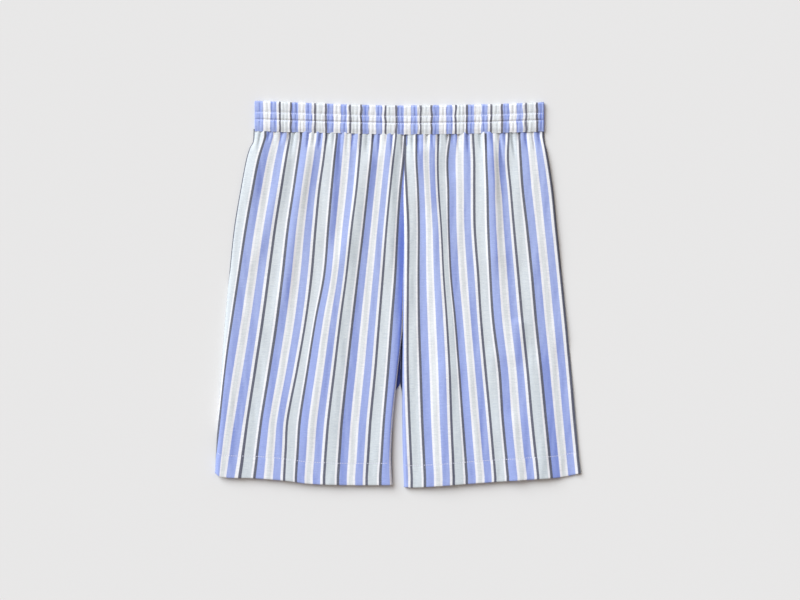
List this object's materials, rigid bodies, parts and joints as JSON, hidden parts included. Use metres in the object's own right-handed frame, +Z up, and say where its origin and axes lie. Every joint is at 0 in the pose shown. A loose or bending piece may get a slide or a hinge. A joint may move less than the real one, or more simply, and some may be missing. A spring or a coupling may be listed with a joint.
{
  "type": "bermuda shorts",
  "caption": "Elastic-waisted bermuda shorts of striped cotton, laid flat with the front up: gathered channelled waistband, straight legs with turned hems, pockets in the side seams.",
  "frame": {"origin": "on the surface the shorts lie on, under the middle of their bounding box", "axes": "+X to the wearer's left, +Y towards the waist, +Z up from the surface; the front of the shorts is upwards"},
  "size_m": [0.457, 0.483, 0.0079],
  "materials": {
    "striped_cotton": "plain-woven cotton, striped blue, white, pale grey and pale aqua with thin grey-black lines",
    "waistband_cotton": "the same striped cotton, gathered over elastic",
    "pocket_cotton": "plain white cotton"
  },
  "bodies": {
    "root": {"back_right": "striped_cotton", "back_left": "striped_cotton", "front_right": "striped_cotton", "front_left": "striped_cotton", "pocket_bag_right": "pocket_cotton", "pocket_bag_left": "pocket_cotton", "waistband_back": "waistband_cotton", "waistband_front": "waistband_cotton"}
  },
  "joints": []
}
